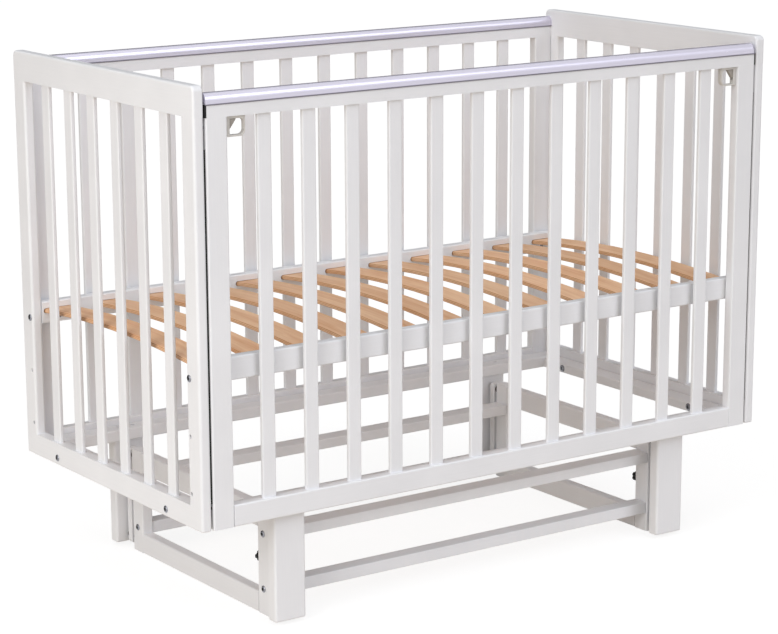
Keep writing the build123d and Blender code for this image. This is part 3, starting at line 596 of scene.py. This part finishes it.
def dome_profile(radius, high, seat=0.0, rim=mm(0.6)):
    """Rings of a low dome: a short straight rim, then a quarter ellipse."""
    rings = [(radius * 0.97, seat), (radius, seat + mm(0.15)), (radius, seat + rim)]
    for step in range(1, dome_rings + 1):
        turn = math.pi / 2 * step / (dome_rings + 0.35)
        rings.append((radius * math.cos(turn), seat + rim + (high - rim) * math.sin(turn)))
    return rings


def button_bolt(name, radius, high, shank_radius, shank_long, socket=socket_radius):
    """A bolt along Z: its head sits on the XY plane and its shank hangs below."""
    shank = [(shank_radius * 0.75, -shank_long), (shank_radius, -shank_long + shank_radius * 0.25), (shank_radius, 0)]
    bolt = turn_on_lathe(name, shank + dome_profile(radius, high), sides=36)
    all_off()
    bpy.ops.mesh.primitive_cylinder_add(vertices=6, radius=socket, depth=2 * socket_deep, location=(0, 0, high))
    key = bpy.context.active_object
    bpy.ops.object.transform_apply(location=True, rotation=True, scale=True)
    bolt.data.materials.append(zinc_plate)
    bolt.data.materials.append(painted_socket_shade)
    key.data.materials.append(painted_socket_shade)
    cut_away(bolt, key)
    # The deep walls of the socket get the second material: painted shade, so that the socket reads as a hole.
    for face in bolt.data.polygons:
        inside = face.center.xy.length < socket * 0.99 and face.center.z > 0
        deep = face.center.z < high - mm(0.15)
        face.material_index = 1 if inside and deep else 0
    take(bolt)
    bpy.ops.object.shade_smooth_by_angle(angle=math.radians(35))
    return bolt


def upright_to(direction, place):
    """The matrix that turns Z to a direction and moves the origin to a place."""
    turn = Vector((0, 0, 1)).rotation_difference(Vector(direction)).to_matrix().to_4x4()
    return Matrix.Translation(place) @ turn


left = (-1, 0, 0)
right = (1, 0, 0)
ledger_bolt = button_bolt("ledger_bolt_pattern", head_radius, head_high, mm(3), mm(58))
ledger_places = [upright_to(left, mm(-625, y, 220)) for y in (-199, 199)]
ledger_places = [mirror_x @ place for place in ledger_places] + ledger_places
stand_in(lay_copies(ledger_bolt, "ledger_bolts_domed", ledger_places), "crib", "zinc_steel", "ledger_bolts")
bed_bolt = button_bolt("bed_bolt_pattern", head_radius, head_high, mm(3), mm(68))
bed_places = [upright_to(left, mm(-625, y, 469.1)) for y in (-288.5, 288.5)]
bed_places = [mirror_x @ place for place in bed_places] + bed_places
stand_in(lay_copies(bed_bolt, "bed_bolts_domed", bed_places), "crib", "zinc_steel", "bed_bolts")
stand_bolt = button_bolt("stand_bolt_pattern", head_radius, head_high, mm(3), mm(62))
stand_places = [upright_to(left, mm(-446.3, y, z)) for y in (-225, 225) for z in (149.25, 47.5)]
stand_places = [mirror_x @ place for place in stand_places] + stand_places
stand_in(lay_copies(stand_bolt, "stand_bolts_domed", stand_places), "stand", "zinc_steel", "stand_bolts")
for pattern in (ledger_bolt, bed_bolt, stand_bolt):
    bpy.data.objects.remove(pattern)

# %% [markdown]
# ## Sleeve nuts
#
# Inside the crib each ledger bolt ends in a sleeve nut, whose low round flange with its socket, painted dark as
# shade, shows between the slats. It is the bolt's shape again, bored from behind for the bolt that it holds.

# %% Turn and bore the sleeve nuts
sleeve_nut = button_bolt("sleeve_nut_pattern", mm(7.5), mm(1.5), mm(5), mm(18), socket=mm(4.2))
all_off()
bpy.ops.mesh.primitive_cylinder_add(vertices=36, radius=mm(3.05), depth=mm(17), location=mm(0, 0, -10.5))
cut_away(sleeve_nut, bpy.context.active_object)
sleeve_places = [upright_to(right, mm(-565, y, 220)) for y in (-199, 199)]
sleeve_places = [mirror_x @ place for place in sleeve_places] + sleeve_places
stand_in(lay_copies(sleeve_nut, "ledger_sleeve_nuts_bored", sleeve_places), "crib", "zinc_steel",
         "ledger_sleeve_nuts")
bpy.data.objects.remove(sleeve_nut)

# %% [markdown]
# ## The rail covers
#
# A cover is a moulded channel with a round crown. Along both lower edges it has a thin soft lip, which closes the gap
# to the wood. The lip is painted dark lilac grey as painted shade: it stands for the shadow gap that draws the fine
# dark line under the cover. The measured crown is round already, so only the lips are added here, as two slim strips
# for each cover.

# %% Lay a lip, painted dark as shade, along the lower edge of each cover
lip_high = mm(2.2)
lip_proud = mm(0.1)
cover_inner = mm(10.05)
cover_half_wide = mm(12)
cover_low = mm(929)
lip_tuck = mm(0.1)
lip_radius = mm(0.45)


def cover_shadow_lips(name, half_length, centre_y, body, node):
    """Two slim rounded strips under a cover's edges, painted dark as the shadow line there."""
    sides = []
    for side in (-1, 1):
        inner = centre_y + side * cover_inner
        outer = centre_y + side * (cover_half_wide - lip_proud)
        low = (-half_length, min(inner, outer), cover_low - lip_high)
        high = (half_length, max(inner, outer), cover_low + lip_tuck)
        sides.append(block(name, low, high))
    lips = joined(sides)
    lips.name = name
    soften(lips, lip_radius, segments=3)
    # The lip's dark colour is painted shade: it stands for the shadow gap under the cover.
    paint(lips, shadow_line_paint)
    stand_in(lips, body, "silver_cover")


cover_shadow_lips("drop_cover_shadow_lips", mm(602.3), mm(-310), "drop_side", "drop_rail_cover")
cover_shadow_lips("back_cover_shadow_lips", mm(605), mm(310), "crib", "back_rail_cover")

# %% [markdown]
# ## The latches
#
# Under each end of the drop side's rail hangs a finger ring with a trigger in it. The ring starts as a block, gets one
# large round corner by an edge bevel, and loses its middle to a second, rounded block. Its walls are two millimetres
# of pale plastic. The trigger is a wedge with grip ridges on its slope. Behind it come the bolt, turned on
# the lathe with its collar, and a coil spring, which the screw modifier winds from a circle of wire.

# %% Model the finger ring
latch_y = -310
latch_z = 890.5
stile_x = -560.4
ring_x = -523
ring_low = 871.1
rail_low = 906
ring_half_deep = 4.5
ring_wall = 1.9
ring_corner = 10.5
opening_x = (-552.8, ring_x - ring_wall)
opening_z = (ring_low + 1.1 + ring_wall, 901)
pocket_half_deep = 3.5


def round_edges(piece, width, steps, wanted):
    """Bevels the chosen edges of a piece in edit mode."""
    take(piece)
    bpy.ops.object.mode_set(mode="EDIT")
    pick("edges", wanted)
    bpy.ops.mesh.bevel(offset=width, segments=steps, affect="EDGES")
    bpy.ops.object.mode_set(mode="OBJECT")


def runs_along_y(edge, x, z):
    """True for an edge along Y at a place in the XZ plane, given in millimetres."""
    return all(abs(corner.co.x - mm(x)) < 1e-5 and abs(corner.co.z - mm(z)) < 1e-5 for corner in edge.verts)


ring = block("ring_pattern", mm(stile_x, latch_y - ring_half_deep, ring_low),
             mm(ring_x, latch_y + ring_half_deep, rail_low))
round_edges(ring, mm(ring_corner), 10, lambda edge: runs_along_y(edge, ring_x, ring_low))
opening = block("opening", mm(opening_x[0], latch_y - 10, opening_z[0]), mm(opening_x[1], latch_y + 10, opening_z[1]))
round_edges(opening, mm(ring_corner - ring_wall), 10, lambda edge: runs_along_y(edge, opening_x[1], opening_z[0]))
round_edges(opening, mm(8), 10, lambda edge: runs_along_y(edge, opening_x[1], opening_z[1]))
cut_away(ring, opening)
cut_away(ring, block("pocket", mm(-558.5, latch_y - pocket_half_deep, 881),
                     mm(-550, latch_y + pocket_half_deep, 900.9)))
all_off()
bpy.ops.mesh.primitive_cylinder_add(vertices=32, radius=mm(3.3), depth=mm(10), location=mm(stile_x, latch_y, latch_z),
                                    rotation=(0, math.pi / 2, 0))
cut_away(ring, bpy.context.active_object)
soften(ring, mm(0.6), segments=2)
paint(ring, latch_grey)
stand_in(lay_copies(ring, "latch_rings_moulded", [Matrix(), mirror_x]), "drop_side", "latch_plastic", "latch_rings")
bpy.data.objects.remove(ring)

# %% Model the trigger with its grip ridges
trigger_root = -558
trigger_low = 884.5
trigger_high = 15.9
trigger_nose = -539.5
slope_run = 11.5
ridge_count = 5
trigger = block("trigger_pattern", mm(trigger_root, latch_y - 3, trigger_low),
                mm(trigger_nose, latch_y + 3, trigger_low + trigger_high))
take(trigger)
bpy.ops.object.mode_set(mode="EDIT")
pick("edges", lambda edge: runs_along_y(edge, trigger_nose, trigger_low))
bpy.ops.transform.translate(value=mm(-slope_run, 0, 0))
bpy.ops.object.mode_set(mode="OBJECT")
soften(trigger, mm(0.5), segments=2)
ridges = [trigger]
for step in range(ridge_count):
    share = 0.16 + 0.17 * step
    all_off()
    bpy.ops.mesh.primitive_cylinder_add(vertices=16, radius=mm(0.55), depth=mm(5),
                                        location=mm(trigger_nose - slope_run * (1 - share), latch_y,
                                                    trigger_low + trigger_high * share),
                                        rotation=(math.pi / 2, 0, 0))
    ridges.append(bpy.context.active_object)
joined(ridges)
paint(trigger, trigger_grey)
stand_in(lay_copies(trigger, "latch_trigger_left_ridged", [Matrix()]), "latch_left", "latch_plastic",
         "latch_trigger_left")
stand_in(lay_copies(trigger, "latch_trigger_right_ridged", [mirror_x]), "latch_right", "latch_plastic",
         "latch_trigger_right")
bpy.data.objects.remove(trigger)

# %% Turn the latch bolt and wind its spring
latch_bolt = turn_on_lathe("latch_bolt_pattern", [mm(2.6, 0), mm(3, 0.4), mm(3, 29), mm(4.3, 29.01), mm(4.3, 31),
                                                  mm(3, 31.01), mm(3, 57.5), mm(2.5, 58.4), mm(1.8, 58.7)], sides=32)
take(latch_bolt)
bpy.ops.object.shade_smooth_by_angle(angle=math.radians(35))
paint(latch_bolt, zinc_plate)
bolt_place = upright_to(left, mm(-554, latch_y, latch_z))
stand_in(lay_copies(latch_bolt, "latch_bolt_left_turned", [bolt_place]), "latch_left", "zinc_steel",
         "latch_bolt_left")
stand_in(lay_copies(latch_bolt, "latch_bolt_right_turned", [mirror_x @ bolt_place]), "latch_right", "zinc_steel",
         "latch_bolt_right")
bpy.data.objects.remove(latch_bolt)

wire_radius = mm(0.42)
coil_radius = mm(3.82)
coil_turns = 8
coil_long = mm(15.4)
all_off()
bpy.ops.mesh.primitive_circle_add(vertices=10, radius=wire_radius, location=(coil_radius, 0, wire_radius),
                                  rotation=(math.pi / 2, 0, 0))
bpy.ops.object.transform_apply(location=True, rotation=True, scale=True)
spring = bpy.context.active_object
apply_modifier(spring, "SCREW", axis="Z", steps=28, render_steps=28, iterations=coil_turns,
               screw_offset=(coil_long - 2 * wire_radius) / coil_turns)
bpy.ops.object.mode_set(mode="EDIT")
bpy.ops.mesh.select_all(action="SELECT")
bpy.ops.mesh.remove_doubles(threshold=1e-6)
bpy.ops.mesh.fill_holes(sides=12)
bpy.ops.mesh.select_all(action="SELECT")
bpy.ops.mesh.normals_make_consistent(inside=False)
bpy.ops.object.mode_set(mode="OBJECT")
bpy.ops.object.shade_smooth_by_angle(angle=math.radians(50))
paint(spring, zinc_plate)
spring_place = upright_to(left, mm(-560.45, latch_y, latch_z))
stand_in(lay_copies(spring, "latch_springs_coiled", [spring_place, mirror_x @ spring_place]), "drop_side",
         "zinc_steel", "latch_springs")
bpy.data.objects.remove(spring)

# %% [markdown]
# ## Guide blocks
#
# A black block closes each end of the drop side's rail, and its tongue runs in the post's groove. It is three simple
# solids: a plate, a tongue and a peg that plugs into the rail; the plate and the tongue have small moulded radii.

# %% Build the guide blocks
plate = block("guide_block_pattern", mm(-603, -319.8, 906.5), mm(-599.5, -300.2, 927.5))
soften(plate, mm(0.9), segments=3)
tongue = block("tongue", mm(-612.6, -313.2, 906.5), mm(-602, -306.8, 927.5))
soften(tongue, mm(0.7), segments=3)
all_off()
bpy.ops.mesh.primitive_cylinder_add(vertices=32, radius=mm(2.95), depth=mm(8), location=mm(-596.5, -310, 917),
                                    rotation=(0, math.pi / 2, 0))
peg = bpy.context.active_object
joined([plate, tongue, peg])
paint(plate, black_nylon)
stand_in(lay_copies(plate, "guide_blocks_moulded", [Matrix(), mirror_x]), "drop_side", "black_plastic",
         "guide_blocks")
bpy.data.objects.remove(plate)

# %% [markdown]
# ## Star knobs
#
# Two black star knobs on the stand lock the swing. Five round bites out of a disc leave five lobes for the fingers, a
# generous bevel softens them as a mould would, and a small dished cap closes the middle.

# %% Shape the star knob
knob_axis_z = 100.5
knob_radius = 10
knob_lobes = 5
bite_radius = 4.5
bite_from = 12.6
all_off()
bpy.ops.mesh.primitive_cylinder_add(vertices=90, radius=mm(knob_radius), depth=mm(9), location=mm(0, 0, 6.5))
bpy.ops.object.transform_apply(location=True, rotation=True, scale=True)
star = bpy.context.active_object
for lobe in range(knob_lobes):
    turn = 2 * math.pi * lobe / knob_lobes
    all_off()
    bpy.ops.mesh.primitive_cylinder_add(vertices=48, radius=mm(bite_radius), depth=mm(30),
                                        location=mm(bite_from * math.cos(turn), bite_from * math.sin(turn), 5))
    bpy.ops.object.transform_apply(location=True, rotation=True, scale=True)
    cut_away(star, bpy.context.active_object)
soften(star, mm(1.3), segments=4, angle=50)
hub = turn_on_lathe("hub", [mm(5.6, 0), mm(6, 0.4), mm(6, 2.6)], sides=48)
cap = turn_on_lathe("cap", [mm(4.2, 10.4), mm(4.2, 10.9), mm(3.9, 11), mm(3.3, 10.95), mm(1.5, 10.8)], sides=48)
joined([star, hub, cap])
paint(star, black_nylon)
bpy.ops.object.shade_smooth_by_angle(angle=math.radians(35))
knob_place = upright_to((0, 1, 0), mm(-435, -206.55, knob_axis_z))
stand_in(lay_copies(star, "lock_knob_left_star", [knob_place]), "knob_left", "black_plastic", "lock_knob_left")
stand_in(lay_copies(star, "lock_knob_right_star", [mirror_x @ knob_place]), "knob_right", "black_plastic",
         "lock_knob_right")
bpy.data.objects.remove(star)

# %% [markdown]
# ## Pivot screws
#
# Each link turns on two shoulder screws. They are the same button-head shape as the bolts but thicker, so the function
# that turned the bolts serves again.

# %% Turn the pivot screws
upper_screw = button_bolt("upper_screw_pattern", mm(7), mm(3.5), mm(4), mm(85))
upper_places = [upright_to((0, -1, 0), mm(x, -264.6, 184.5)) for x in (-435, 435)]
upper_places = [mirror_y @ place for place in upper_places] + upper_places
stand_in(lay_copies(upper_screw, "upper_pivot_screws_domed", upper_places), "stand", "zinc_steel",
         "upper_pivot_screws")
lower_screw = button_bolt("lower_screw_pattern", mm(7), mm(3.5), mm(4), mm(40))
lower_places = [upright_to((0, 1, 0), mm(x, -250.2, 22.5)) for x in (-435, 435)]
lower_places = [mirror_y @ place for place in lower_places] + lower_places
stand_in(lay_copies(lower_screw, "lower_pivot_screws_domed", lower_places), "crib", "zinc_steel",
         "lower_pivot_screws")
for pattern in (upper_screw, lower_screw):
    bpy.data.objects.remove(pattern)
